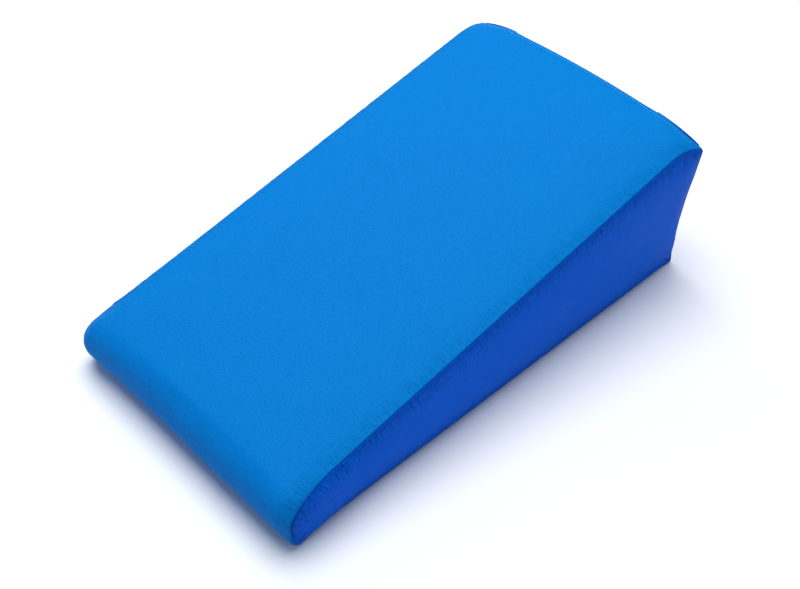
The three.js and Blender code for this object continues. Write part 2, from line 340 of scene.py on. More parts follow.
def top_point(s, across):
    """The ramp and nose: across runs from -1 at the left seam to 1 at the right one."""
    y, z, ny, nz = outline(s)
    from_seam = SIDE * (1 - abs(across))
    from_ridge = OUTLINE - s
    swell = SHOULDER * (1 - fall(from_seam, SHOULDER_WIDTH) ** 2)
    swell *= 1 - fall(from_ridge, SHOULDER_WIDTH) ** 2
    swell = (swell - SEAM_DROP) * smooth((s - SHOULDER_AT) / SHOULDER_RUN)
    swell -= NOSE_TUCK * bell((s - TUCK_AT) / TUCK_WIDTH) * min(1.0, s / TUCK_START)
    before_ramp = 1 - smooth((s - NOSE_END) / NOSE_FADE)
    pull = smooth((s - PULL_AT) / PULL_RUN) * before_ramp
    puff = smooth(s / PUFF_RUN) * before_ramp
    heel = bell((s - HEEL_AT) / HEEL_WIDTH) * min(1.0, s / HEEL_START)
    swell += (NOSE_HEEL * heel - NOSE_PULL * pull) * fall(from_seam, NOSE_ROLL) ** 2
    ear = fall(from_ridge, EAR_RUN) ** EAR_POINT * fall(from_seam, EAR_SPREAD) ** EAR_EDGE
    crown = (1 - across**2) * smooth((s - NOSE_RUN) / RAMP_LENGTH)
    bulge = BACK_BULGE * crown * smooth(1 - from_ridge / BULGE_RUN)
    return Vector(
        (
            across * (SIDE + EAR_FLARE * ear + NOSE_PUFF * puff),
            y + swell * ny + EAR_BACK * ear + bulge,
            max(0.0, z + swell * nz + BACK_CROWN * crown - EAR_DROP * ear),
        )
    )


# Heights of the back's rows: one below the zip's opening, the opening's two edges, then an even climb.
RISES = (2 * WINDOW_LOW - WINDOW_HIGH, WINDOW_LOW, WINDOW_HIGH, 0.063, 0.077, 0.092, 0.107, 0.122)
EAR = top_point(OUTLINE, 1)
RISE_SHARES = [(z - BAND) / (EAR.z - 2 * BAND) for z in RISES]
TOP_ROWS = banded(NOSE_RUN, RISE_SHARES)
NOSE_ROWS = len(TOP_ROWS) - 1
TOP_ROWS += even(NOSE_RUN, OUTLINE - BAND, CELL)
TOP_ROWS += [OUTLINE - d for d in reversed(EDGE_BAND[:-1])]
ROWS = len(TOP_ROWS) - 1
ACROSS = [d / SIDE - 1 for d in banded(2 * SIDE, [n / CELLS_ACROSS for n in range(1, CELLS_ACROSS)])]
COLUMNS = len(ACROSS) - 1
SIDE_COLUMNS = ROWS - NOSE_ROWS
CORNER_RISES = banded(EAR.z, RISE_SHARES)


def top_place(column, row):
    return top_point(TOP_ROWS[row], ACROSS[column])


def corner_place(k):
    """The upright seam at the back right corner, drawn in between its ends."""
    z = CORNER_RISES[k]
    lean = max(0.0, (z / EAR.z - LEAN_FROM) / (1 - LEAN_FROM)) ** 2
    drawn = BACK_HOLLOW * sin(pi * z / EAR.z) ** 2
    return Vector((SIDE + (EAR.x - SIDE) * lean, BACK + (EAR.y - BACK) * lean - drawn, z))


def base_place(column, row):
    """The flat underside. Its rows keep step with those of the sides."""
    first = outline(NOSE_RUN)[0]
    here = outline(TOP_ROWS[NOSE_ROWS + row])[0]
    part = (here - first) / (BACK - first)
    return Vector((ACROSS[column] * SIDE, NOSE_Y + (BACK - NOSE_Y) * part, 0))


def side_rows(low, high):
    """Shares of the way up a row of the side."""
    tall = (high - low).length
    return [d / tall for d in banded(tall, RISE_SHARES)]


def side_place(column, row):
    """The right side. Its front edge follows the nose round, and its back edge the corner seam."""
    low = base_place(COLUMNS, column)
    high = top_place(COLUMNS, NOSE_ROWS + column)
    share = side_rows(low, high)[row]
    point = low.lerp(high, share)
    tall = (high - low).length
    from_seam = min(share * tall, (1 - share) * tall, max(0.0, BACK - low.y))
    swell = SIDE_SWELL * (1 - fall(from_seam, SIDE_SHOULDER) ** 2)
    point.x += swell * smooth(share * tall / SIDE_FOOT) * min(1.0, column / FRONT_COLUMNS)
    front_low, front_high = base_place(COLUMNS, 0), top_place(COLUMNS, NOSE_ROWS)
    front_share = side_rows(front_low, front_high)[row]
    front_bend = top_place(COLUMNS, row) - front_low.lerp(front_high, front_share)
    point += front_bend * fall(low.y - NOSE_Y, FRONT_BEND)
    back_low = Vector((SIDE, BACK, 0))
    back_bend = corner_place(row) - back_low.lerp(EAR, side_rows(back_low, EAR)[row])
    return point + back_bend * fall(BACK - low.y, BACK_BEND) ** 2


def back_place(column, row):
    """The thick end, from the base up to the ridge, level along the zip."""
    across = ACROSS[column]
    edge = corner_place(row)
    ridge = top_point(OUTLINE, across)
    lift = max(0.0, (edge.z - WINDOW_HIGH) / (EAR.z - WINDOW_HIGH))
    corner = fall(SIDE * (1 - abs(across)), EAR_SPREAD) ** EAR_EDGE
    y = BACK + (edge.y - BACK) * corner + (ridge.y - BACK - EAR_BACK * corner) * lift**2
    return Vector((across * (SIDE + (edge.x - SIDE) * corner), y, edge.z + (ridge.z - EAR.z) * lift))


def grid_panel(number, columns, rows, place):
    """A grid shaped into one face of the cover, each of its faces marked with the panel's number."""
    bpy.ops.object.select_all(action="DESELECT")
    bpy.ops.mesh.primitive_grid_add(x_subdivisions=columns, y_subdivisions=rows, size=2)
    panel = bpy.context.object
    for vertex in panel.data.vertices:
        column = round((vertex.co.x + 1) / 2 * columns)
        row = round((vertex.co.y + 1) / 2 * rows)
        vertex.co = place(column, row)
    mark = panel.data.attributes.new("panel", "INT", "FACE")
    for face in mark.data:
        face.value = number
    return panel


TOP, RIGHT, LEFT, BASE, UPPER, LOWER, OPENING = range(7)
SAME_PLACE = 0.00002


def mirrored(point):
    return Vector((-point.x, point.y, point.z))


faces = [
    grid_panel(TOP, COLUMNS, ROWS, top_place),
    grid_panel(RIGHT, SIDE_COLUMNS, NOSE_ROWS, side_place),
    grid_panel(LEFT, SIDE_COLUMNS, NOSE_ROWS, lambda column, row: mirrored(side_place(column, row))),
    grid_panel(BASE, COLUMNS, SIDE_COLUMNS, base_place),
    grid_panel(UPPER, COLUMNS, NOSE_ROWS, back_place),
]
back_marks = faces[-1].data.attributes["panel"].data
for face in faces[-1].data.polygons:
    if face.center.z < WINDOW_LOW:
        back_marks[face.index].value = LOWER
    elif face.center.z < WINDOW_HIGH and abs(face.center.x) < ZIP_END:
        back_marks[face.index].value = OPENING

select_only(faces[0])
for face in faces:
    face.select_set(True)
bpy.ops.object.join()
form = bpy.context.object
form.name = "cushion_form"
bpy.ops.object.mode_set(mode="EDIT")
bpy.ops.mesh.select_all(action="SELECT")
bpy.ops.mesh.remove_doubles(threshold=SAME_PLACE)
bpy.ops.mesh.select_all(action="SELECT")
bpy.ops.mesh.normals_make_consistent(inside=False)
bpy.ops.object.mode_set(mode="OBJECT")

# The left end of the nose is stuffed a little fuller and lower than the right.
LEFT_NOSE = 0.0062
LEFT_OUT = 0.65
LEFT_FORWARD = 0.45
LEFT_DOWN = 0.75
LEFT_FROM = 0.08
LEFT_RUN = 0.07
LEFT_AHEAD = 0.024
LEFT_DEPTH = 0.025
LEFT_FOOT = 0.015
SAG_FROM = 0.008
SAG_RUN = 0.03

for vertex in form.data.vertices:
    x, y, z = vertex.co
    fuller = LEFT_NOSE * smooth((-x - LEFT_FROM) / LEFT_RUN) * bell((y - NOSE_Y + LEFT_AHEAD) / LEFT_DEPTH)
    fuller *= smooth(z / LEFT_FOOT)
    sag = LEFT_DOWN * smooth((z - SAG_FROM) / SAG_RUN)
    vertex.co += fuller * Vector((-LEFT_OUT, -LEFT_FORWARD, -sag))


def seam_edges(mesh):
    """The edges at which two panels of the cover meet. The zip's opening counts with the back."""
    numbers = [min(m.value, UPPER) for m in mesh.attributes["panel"].data]
    met = {}
    for face in mesh.polygons:
        for key in face.edge_keys:
            met.setdefault(key, set()).add(numbers[face.index])
    return [key for key, panels in met.items() if len(panels) > 1]


seams = seam_edges(form.data)
crease = form.data.attributes.new("crease_edge", "FLOAT", "EDGE")
lookup = {tuple(sorted(e.vertices)): e.index for e in form.data.edges}
for key in seams:
    crease.data[lookup[tuple(sorted(key))]].value = 1.0

HELD_BY_SEAM = 0.002
HELD_ON_FLOOR = 0.0005
HELD_BY_ZIP = 0.006
HELD_OVER_ZIP = 0.015

seam_places = KDTree(2 * len(seams))
for n, key in enumerate(seams):
    seam_places.insert(form.data.vertices[key[0]].co, 2 * n)
    seam_places.insert(form.data.vertices[key[1]].co, 2 * n + 1)
seam_places.balance()
held = form.vertex_groups.new(name="held")
for vertex in form.data.vertices:
    by_seam = seam_places.find(vertex.co)[2] < HELD_BY_SEAM
    on_floor = vertex.co.z < HELD_ON_FLOOR
    by_zip = vertex.co.y > BACK - HELD_BY_ZIP and vertex.co.z < WINDOW_HIGH + HELD_OVER_ZIP
    if by_seam or on_floor or by_zip:
        held.add([vertex.index], 1.0, "REPLACE")

TOP_SWELL_LIMIT = 0.003
SIDE_SWELL_LIMIT = 0.002
SWELL_FRAMES = 20
SIDE_FROM = SIDE - 0.001
STILL = 1e-7


def blow_up(piece):
    """Presses the cover out from inside, and keeps each point within a few millimetres."""
    start = [v.co.copy() for v in piece.data.vertices]
    select_only(piece)
    cloth = piece.modifiers.new("pressed_foam", "CLOTH")
    cloth.settings.quality = 6
    cloth.settings.mass = 0.4
    cloth.settings.tension_stiffness = 30
    cloth.settings.compression_stiffness = 30
    cloth.settings.shear_stiffness = 15
    cloth.settings.bending_stiffness = 2
    cloth.settings.use_pressure = True
    cloth.settings.uniform_pressure_force = 4
    cloth.settings.vertex_group_mass = "held"
    cloth.settings.effector_weights.gravity = 0
    cloth.point_cache.frame_start = 1
    cloth.point_cache.frame_end = SWELL_FRAMES
    for number in range(1, SWELL_FRAMES + 1):
        bpy.context.scene.frame_set(number)
    bpy.ops.object.modifier_apply(modifier=cloth.name)
    bpy.context.scene.frame_set(1)
    for vertex, before in zip(piece.data.vertices, start):
        move = vertex.co - before
        limit = SIDE_SWELL_LIMIT if abs(before.x) > SIDE_FROM else TOP_SWELL_LIMIT
        if move.length > STILL:
            vertex.co = before + move.normalized() * limit * (1 - exp(-move.length / limit))


blow_up(form)


def finer(piece, levels):
    select_only(piece)
    subdivide = piece.modifiers.new("finer", "SUBSURF")
    subdivide.levels = levels
    subdivide.render_levels = levels
    bpy.ops.object.modifier_apply(modifier=subdivide.name)


def copy_of(piece, name):
    copy = piece.copy()
    copy.data = piece.data.copy()
    copy.name = name
    copy.vertex_groups.clear()
    bpy.context.collection.objects.link(copy)
    return copy


foam = copy_of(form, "foam_block")
finer(form, 2)


class Seams:
    """The seam lines of a form: the nearest seam point to any place, and the way out of the cushion there."""

    def __init__(self, mesh):
        self.points = [v.co.copy() for v in mesh.vertices]
        self.normals = [v.normal.copy() for v in mesh.vertices]
        self.beside = {}
        for a, b in seam_edges(mesh):
            self.beside.setdefault(a, []).append(b)
            self.beside.setdefault(b, []).append(a)
        self.tree = KDTree(len(self.beside))
        for index in self.beside:
            self.tree.insert(self.points[index], index)
        self.tree.balance()
        self.corners = [self.points[index] for index, others in self.beside.items() if len(others) > 2]

    def from_corner(self, place):
        """How far away the nearest point is at which three panels meet."""
        return min((place - corner).length for corner in self.corners)

    def nearest(self, place):
        _, index, _ = self.tree.find(place)
        start = self.points[index]
        best = (place - start).length, start, self.normals[index]
        for other in self.beside[index]:
            step = self.points[other] - start
            t = min(1.0, max(0.0, (place - start).dot(step) / step.length_squared))
            point = start + step * t
            distance = (place - point).length
            if distance < best[0]:
                normal = self.normals[index].lerp(self.normals[other], t).normalized()
                best = distance, point, normal
        return best


lines = Seams(form.data)

# ---- Foam core
# One block of pale upholstery foam, cut as a wedge with a round nose. It lies loose inside the cover, a
# little smaller than it, with its edges softened, and the zip presses a shallow channel into its thick end.
UNDER_COVER = 0.0026
EDGE_INSET = 0.0035
EDGE_WIDTH = 0.014
FOAM_CELL = 0.005
CHANNEL_HALF = 0.021
CHANNEL_EASE = 0.004
CHANNEL_FROM = BACK - 0.01
channel_middle = (WINDOW_LOW + WINDOW_HIGH) / 2
channel_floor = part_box("zip_slider")[0].y - 0.0005

select_only(foam)
blocks = foam.modifiers.new("blocks", "REMESH")
blocks.mode = "VOXEL"
blocks.voxel_size = FOAM_CELL
bpy.ops.object.modifier_apply(modifier=blocks.name)
evening = foam.modifiers.new("evening", "CORRECTIVE_SMOOTH")
bpy.ops.object.modifier_apply(modifier=evening.name)
for vertex in foam.data.vertices:
    distance, _, outward = lines.nearest(vertex.co)
    inset = vertex.normal * UNDER_COVER + outward * EDGE_INSET * fall(distance, EDGE_WIDTH) ** 2
    vertex.co -= inset
for vertex in foam.data.vertices:
    from_middle = abs(vertex.co.z - channel_middle)
    if vertex.co.y > CHANNEL_FROM and from_middle < CHANNEL_HALF + CHANNEL_EASE:
        pressed = 1 - smooth((from_middle - CHANNEL_HALF + CHANNEL_EASE) / (2 * CHANNEL_EASE))
        vertex.co.y += min(0.0, channel_floor - vertex.co.y) * pressed

foam_stuff, shade, surface = new_material("open_cell_foam")
where = shade.place()
cells = shade.node("ShaderNodeTexVoronoi", None, {"Vector": where, "Scale": 900.0})
tone = shade.noise(where, 25.0, 3.0)
foam_colour = shade.mix(tone, (0.84, 0.79, 0.62, 1), (0.9, 0.86, 0.72, 1))
dent = shade.bump(cells, 0.0006, 0.8)
wire(shade, surface, Base_Color=foam_colour, Roughness=0.95, Normal=dent)
foam.data.materials.clear()
foam.data.materials.append(foam_stuff)
select_only(foam)
bpy.ops.object.shade_smooth_by_angle(angle=radians(50))
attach(foam, "cushion")
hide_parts("foam_core")

# ---- Synthetic leather
# The cover's cloth: a blue plastic skin with a fine pebble grain on a knitted backing. The grain's valleys
# are deeper in colour and duller, and worn patches are paler. Beside the seams the colour is painted darker,
# as painted shade in the creases, and the leather there is duller.
GRAIN = 1 / 0.0013
FOLDS = GRAIN * 0.36
WANDER = 0.0012
TUCKS = 1 / 0.0048
TUCK_LEAN = 0.22
# The colour of the painted shade in the creases beside the seams.
PAINTED_SEAM_SHADE_COLOUR = (0.0005, 0.062, 0.39)


def leather(name, colour, deep, worn):
    material, shade, surface = new_material(name)
    where = shade.place()
    drift = shade.node("ShaderNodeTexNoise", None, {"Vector": where, "Scale": 260.0}, out=1)
    bend = shade.node(
        "ShaderNodeVectorMath",
        {"operation": "MULTIPLY_ADD"},
        {0: drift, 1: (WANDER, WANDER, WANDER), 2: where},
    )
    pebble = shade.node(
        "ShaderNodeTexVoronoi",
        {"feature": "SMOOTH_F1"},
        {"Vector": bend, "Scale": GRAIN, "Smoothness": 0.35},
    )
    folds = shade.node(
        "ShaderNodeTexVoronoi", {"feature": "DISTANCE_TO_EDGE"}, {"Vector": bend, "Scale": FOLDS}
    )
    fold_line = 1 - (folds * 9.0).limited(0.0, 1.0)
    pores = shade.noise(where, 2600.0, 2.0)
    cloudy = shade.noise(where, 9.0, 4.0, 0.6)
    patchy = shade.noise(where, 210.0, 3.0, 0.6)
    rubbed = shade.noise(where, 34.0, 3.0)
    seam_point = shade.node("ShaderNodeAttribute", {"attribute_name": "seam_point"}, out=1)
    tuck_reach = shade.node("ShaderNodeAttribute", {"attribute_name": "tuck_reach"}, out=2)
    beside_seam = shade.node("ShaderNodeAttribute", {"attribute_name": "beside_seam"}, out=2)
    leaning = shade.node(
        "ShaderNodeVectorMath",
        {"operation": "MULTIPLY_ADD"},
        {0: where, 1: (TUCK_LEAN, TUCK_LEAN, TUCK_LEAN), 2: seam_point},
    )
    tuck = shade.noise(leaning, TUCKS, 2.0, 0.55)
    tucks = shade.math("ABSOLUTE", tuck - 0.5) * -4.0 * tuck_reach
    valley = (pebble * 0.9 + fold_line * 0.35 - 0.28).limited(0.0, 1.0)
    grained = shade.mix(valley * 0.6, (*colour, 1), (*deep, 1))
    wear = ((cloudy - 0.35) * 0.5 + (patchy - 0.5) * 0.5).limited(0.0, 1.0)
    clouded = shade.mix(wear, grained, (*worn, 1))
    # Painted shade: the colour darkens towards the seams, where shade falls in the creases.
    seam_shaded = shade.mix(beside_seam * 0.85, clouded, (*PAINTED_SEAM_SHADE_COLOUR, 1))
    height = 1 - pebble * 1.1 - fold_line * 0.5 + pores * 0.12
    fine = shade.bump(height, 0.0004, 0.7)
    soft = shade.bump(rubbed, 0.0016, 0.3, fine)
    drawn = shade.bump(tucks, 0.0023, 1.0, soft)
    roughness = (0.52 + valley * 0.16 + (cloudy - 0.5) * 0.12 + beside_seam * 0.1).limited(0.3, 0.9)
    wire(shade, surface, Base_Color=seam_shaded, Roughness=roughness, Normal=drawn)
    surface.inputs["Specular IOR Level"].default_value = 0.03
    return material


ramp_leather = leather(
    "blue_leather_ramp", colour=(0.0004, 0.173, 0.5), deep=(0.0002, 0.113, 0.4), worn=(0.0012, 0.197, 0.535)
)
# A second copy of the same leather, painted darker and more violet: painted shade for the sides and back
# strips, which are turned away from the overhead light.
shaded_leather_copy = leather(
    "blue_leather_shaded_copy", colour=(0.0015, 0.11, 0.63), deep=(0.0006, 0.07, 0.5), worn=(0.004, 0.132, 0.66)
)

# ---- Cover panels, cutting and sewing
# Each panel is cut from the leather, sewn inside out along its edges and turned, so that beside every seam
# its skin rolls over and dives into the groove. The stitches draw it into small puckers there.
COVER = 0.0012
ROLL_RADIUS = 0.00125
SHALLOWEST_FOLD = 0.35
LEAST_TOWARDS = 0.15
CORNER_ROLL = 0.08
CORNER_FROM = 0.003
CORNER_RUN = 0.016
FLAP = 0.0012
PUCKER_REACH = 0.015
PUCKER_PITCH = 0.0045
DEEPEST_PUCKER = 0.0006
# How far from a seam the painted shade reaches.
SEAM_SHADE_WIDTH = 0.0019
WAVES = 0.035
FLAT_EDGE = 0.03
NOTHING = 1e-6


def cut_panel(name, number):
    """Takes one panel of the cover out of the form."""
    panel = copy_of(form, name)
    marks = [m.value for m in panel.data.attributes["panel"].data]
    select_only(panel)
    bpy.ops.object.mode_set(mode="EDIT")
    bpy.ops.mesh.select_mode(type="FACE")
    bpy.ops.mesh.select_all(action="DESELECT")
    bpy.ops.object.mode_set(mode="OBJECT")
    for face, mark in zip(panel.data.polygons, marks):
        face.select = mark != number
    bpy.ops.object.mode_set(mode="EDIT")
    bpy.ops.mesh.delete(type="FACE")
    bpy.ops.object.mode_set(mode="OBJECT")
    return panel


def roll_edges(panel, pucker, uneven, crease=SEAM_SHADE_WIDTH):
    """Rolls the panel's edges into the seams, and draws in the puckers beside them."""
    mesh = panel.data
    seam_shade_mark = mesh.attributes.new("beside_seam", "FLOAT", "POINT")
    tuck_mark = mesh.attributes.new("tuck_reach", "FLOAT", "POINT")
    point_mark = mesh.attributes.new("seam_point", "FLOAT_VECTOR", "POINT")
    normals = [v.normal.copy() for v in mesh.vertices]
    for vertex, normal in zip(mesh.vertices, normals):
        place = vertex.co.copy()
        distance, seam, outward = lines.nearest(place)
        half_angle = asin(min(1.0, max(SHALLOWEST_FOLD, normal.dot(outward))))
        turn_all = pi - half_angle
        off_corner = smooth((lines.from_corner(place) - CORNER_FROM) / CORNER_RUN)
        loose = CORNER_ROLL + (1 - CORNER_ROLL) * off_corner
        radius = ROLL_RADIUS * loose
        start = radius * tan(turn_all / 2)
        move = Vector()
        if distance < start:
            towards = outward - normal * outward.dot(normal)
            if towards.length < LEAST_TOWARDS:
                towards = seam - place
                towards -= normal * towards.dot(normal)
            if towards.length > NOTHING:
                towards.normalize()
            run = (1 - distance / start) * (radius * turn_all + FLAP * loose)
            turn = min(turn_all, run / radius)
            down = max(0.0, run - radius * turn_all)
            move += towards * (distance - start + radius * sin(turn))
            move += normal * (radius * cos(turn) - radius)
            move -= outward * down
        gather = noise.noise(seam / PUCKER_PITCH) + 0.5 * noise.noise(seam / (PUCKER_PITCH * 2.3))
        reach = bell(distance / PUCKER_REACH) * smooth(distance / (2 * start))
        move += normal * pucker * gather * reach
        move += normal * uneven * noise.noise(place / WAVES) * smooth(distance / FLAT_EDGE)
        vertex.co = place + move
        # Where the material paints shade beside the seam, and makes the leather duller, fading over the given
        # width.
        seam_shade_mark.data[vertex.index].value = bell(distance / crease)
        tuck_mark.data[vertex.index].value = reach * pucker / DEEPEST_PUCKER
        point_mark.data[vertex.index].vector = seam
    return panel


def line_cover(panel, material):
    """Gives the cut leather its thickness, on the inside, and its finish."""
    panel.data.materials.clear()
    panel.data.materials.append(material)
    select_only(panel)
    lining = panel.modifiers.new("thickness", "SOLIDIFY")
    lining.thickness = COVER
    lining.offset = -1
    bpy.ops.object.modifier_apply(modifier=lining.name)
    bpy.ops.object.shade_smooth()


def finish_panel(panel, node, material):
    line_cover(panel, material)
    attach(panel, "cushion")
    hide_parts(node)


# ---- Ramp and nose
# One piece of the blue leather, which comes down the ramp and round the nose to the seam underneath. It is
# sewn to the sides, the back and the base, and a second row of stitches holds it down just below the ridge.
RAMP_PUCKER = 0.00025
RAMP_UNEVEN = 0.0007
STITCH_ROW = 0.005
STITCH_PULL = 0.0005
STITCH_DENT = 0.0015
ROW_STEPS = 120
ROW_REACH = 0.03
ROW_SLANT = 0.3

ramp_cover = roll_edges(cut_panel("ramp_cover", TOP), RAMP_PUCKER, RAMP_UNEVEN)


def ridge_row(across):
    """A point of the edge stitching, on the ramp just below the ridge."""
    return top_point(OUTLINE - STITCH_ROW, across)


row_points = [ridge_row(2 * n / ROW_STEPS - 1) for n in range(ROW_STEPS + 1)]
row_tree = KDTree(len(row_points))
for n, point in enumerate(row_points):
    row_tree.insert(point, n)
row_tree.balance()
for vertex in ramp_cover.data.vertices:
    if vertex.co.y > BACK - ROW_REACH:
        point, _, _ = row_tree.find(vertex.co)
        apart = hypot(vertex.co.y - point.y, ROW_SLANT * (vertex.co.z - point.z))
        vertex.co -= vertex.normal * STITCH_PULL * bell(apart / STITCH_DENT)
finish_panel(
    ramp_cover, "top_panel", ramp_leather,
)

# ---- Sides
# Two flat wedges of the leather, cut with a round nose and sewn all round. Of all the panels they have the
# deepest puckers and the widest band of painted shade beside their seams.
SIDE_PUCKER = 0.0006
SIDE_UNEVEN = 0.0006
SIDE_SEAM_SHADE_WIDTH = 0.0034

for hand, number, node in (("right", RIGHT, "right_side_panel"), ("left", LEFT, "left_side_panel")):
    side_cover = roll_edges(cut_panel(f"{hand}_side_cover", number), SIDE_PUCKER, SIDE_UNEVEN, SIDE_SEAM_SHADE_WIDTH)
    # The sides take the copy of the leather painted darker and more violet as their shade.
    finish_panel(side_cover, node, shaded_leather_copy)

# ---- Back strips
# Two strips of the leather, one above the zip and one below it, sewn to the faces around them. Each strip's
# free edge is turned in along the zip, and folds back behind the strip.
BACK_PUCKER = 0.0003
BACK_UNEVEN = 0.0003
HEM_RADIUS = 0.00125
HEM_STEPS = 6
HEM_DEPTH = 0.011
AT_EDGE = 0.0004


def hem_edge(strip, edge_z, away):
    """Folds the strip's free edge round behind it, for the zip to be sewn to."""
    select_only(strip)
    bpy.ops.object.mode_set(mode="EDIT")
    bpy.ops.mesh.select_mode(type="EDGE")
    bpy.ops.mesh.select_all(action="DESELECT")
    bpy.ops.object.mode_set(mode="OBJECT")
    border = {}
    for face in strip.data.polygons:
        for key in face.edge_keys:
            border[key] = border.get(key, 0) + 1
    heights = [v.co.z for v in strip.data.vertices]
    for edge in strip.data.edges:
        a, b = edge.vertices
        at_edge = abs(heights[a] - edge_z) < AT_EDGE and abs(heights[b] - edge_z) < AT_EDGE
        edge.select = at_edge and border[tuple(sorted((a, b)))] == 1
    bpy.ops.object.mode_set(mode="EDIT")
    bend = pi / HEM_STEPS
    for n in range(HEM_STEPS):
        turned = bend * (n + 0.5)
        step = 2 * HEM_RADIUS * sin(bend / 2)
        move = (0, -step * sin(turned), -away * step * cos(turned))
        bpy.ops.mesh.extrude_edges_move(TRANSFORM_OT_translate={"value": move})
    bpy.ops.mesh.extrude_edges_move(TRANSFORM_OT_translate={"value": (0, 0, away * HEM_DEPTH)})
    bpy.ops.object.mode_set(mode="OBJECT")


for name, number, edge_z, away, node, tall in (
    ("back_cover_upper", UPPER, WINDOW_HIGH, 1, "back_panel_upper", RIDGE - WINDOW_HIGH),
    ("back_cover_lower", LOWER, WINDOW_LOW, -1, "back_panel_lower", WINDOW_LOW),
):
    strip = roll_edges(cut_panel(name, number), BACK_PUCKER, BACK_UNEVEN)
    hem_edge(strip, edge_z, away)
    # The strips take the copy of the leather painted darker as their shade, like the sides.
    finish_panel(strip, node, shaded_leather_copy)

# ---- Base
# A flat sheet of dark non-slip cloth, woven, with small raised rubber dots on its outside. It is sewn to the
# leather all round, and the cushion rests on it.
BASE_PUCKER = 0.0001

grip_cloth, shade, surface = new_material("non_slip_cloth")
where = shade.place()
spots = shade.node("ShaderNodeTexVoronoi", None, {"Vector": where, "Scale": 330.0, "Randomness": 0.15})
dots = 1 - (spots * 2.2).limited(0.0, 1.0)
weave = shade.noise(where, 1400.0, 2.0)
dust = shade.noise(where, 14.0, 4.0)
grip_colour = shade.mix(dust * 0.6, (0.018, 0.021, 0.026, 1), (0.05, 0.054, 0.06, 1))
grip_bump = shade.bump(dots + weave * 0.25, 0.0005, 0.8)
wire(shade, surface, Base_Color=grip_colour, Roughness=(0.85 - dots * 0.2), Normal=grip_bump)
base_cover = roll_edges(cut_panel("base_cover", BASE), BASE_PUCKER, 0.0)
finish_panel(
    base_cover, "base_panel", grip_cloth
)

# ---- Thread
# Polyester thread in the cover's blue: a lockstitch deep in every seam, and rows of visible stitches along
# the ridge and the zip. Each stitch is a short twisted bead whose ends dive into the leather.
THREAD_RADIUS = 0.00032
STITCH_LENGTH = 0.0031
STITCH_PITCH = 0.0038
STITCH_CUTS = (-0.3, 0.0, 0.3)
STITCH_TAPER = 0.45
STITCH_BOW = 0.0006
SEAM_SINK = 0.0021
ROW_SINK = 0.00005
ZIP_ROW_STEPS = 40

thread_stuff, shade, surface = new_material("polyester_thread")
where = shade.place()
twist = shade.node(
    "ShaderNodeTexWave",
    {"wave_type": "BANDS", "bands_direction": "DIAGONAL"},
    {"Vector": where, "Scale": 900.0, "Distortion": 1.5},
)
tint = shade.noise(where, 300.0)
thread_colour = shade.mix(tint, (0.03, 0.26, 0.7, 1), (0.1, 0.42, 0.85, 1))
thread_bump = shade.bump(twist, 0.00012, 0.8)
wire(shade, surface, Base_Color=thread_colour, Roughness=0.45, Normal=thread_bump)
surface.inputs["Sheen Weight"].default_value = 0.2


def one_stitch():
    """A bead along X, bowed so that its ends sink."""
    bpy.ops.object.select_all(action="DESELECT")
    bpy.ops.mesh.primitive_cylinder_add(vertices=7, radius=THREAD_RADIUS, depth=STITCH_LENGTH,
                                        rotation=(0, pi / 2, 0), end_fill_type="TRIFAN")
    bead = bpy.context.object
    bpy.ops.object.transform_apply(location=False, rotation=True, scale=False)
    bpy.ops.object.mode_set(mode="EDIT")
    for part in STITCH_CUTS:
        bpy.ops.mesh.select_all(action="SELECT")
        bpy.ops.mesh.bisect(plane_co=(part * STITCH_LENGTH, 0, 0), plane_no=(1, 0, 0))
    bpy.ops.object.mode_set(mode="OBJECT")
    for vertex in bead.data.vertices:
        t = abs(vertex.co.x) / (STITCH_LENGTH / 2)
        narrow = 1 - STITCH_TAPER * t**4
        vertex.co.y *= narrow
        vertex.co.z = vertex.co.z * narrow - STITCH_BOW * t**3
    return bead


stitch = one_stitch()
stitch_points = [v.co.copy() for v in stitch.data.vertices]
stitch_faces = [tuple(f.vertices) for f in stitch.data.polygons]
bpy.data.objects.remove(stitch)


def even_steps(points, pitch):
    """Places a pitch apart along a run of points, with the direction of the run at each."""
    lengths = [(b - a).length for a, b in zip(points, points[1:])]
    count = max(2, int(sum(lengths) / pitch))
    gap = sum(lengths) / count
    places, target, done, n = [], gap / 2, 0.0, 0
    while len(places) < count and n < len(lengths):
        if done + lengths[n] >= target:
            t = (target - done) / lengths[n]
            places.append((points[n].lerp(points[n + 1], t), (points[n + 1] - points[n]).normalized()))
            target += gap
        else:
            done += lengths[n]
            n += 1
    return places


def sew(name, runs, settle, node, sink):
    """Lays stitches along runs of points. settle gives the surface point and normal for each."""
    vertices, polygons = [], []
    for run in runs:
        for place, along in even_steps(run, STITCH_PITCH):
            point, up = settle(place)
            side = up.cross(along).normalized()
            ahead = side.cross(up).normalized()
            turn = Matrix((ahead, side, up)).transposed()
            start = len(vertices)
            vertices += [point - up * sink + turn @ p for p in stitch_points]
            polygons += [tuple(start + i for i in f) for f in stitch_faces]
    mesh = bpy.data.meshes.new(name)
    mesh.from_pydata(vertices, [], polygons)
    piece = bpy.data.objects.new(name, mesh)
    bpy.context.collection.objects.link(piece)
    mesh.materials.append(thread_stuff)
    select_only(piece)
    bpy.ops.object.shade_smooth()
    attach(piece, "cushion")
    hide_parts(node)


def into_seam(place):
    _, point, outward = lines.nearest(place)
    return point, outward


def on_surface(piece):
    tree = BVHTree.FromObject(piece, bpy.context.evaluated_depsgraph_get())

    def settle(place):
        point, normal, _, _ = tree.find_nearest(place)
        return point, normal

    return settle


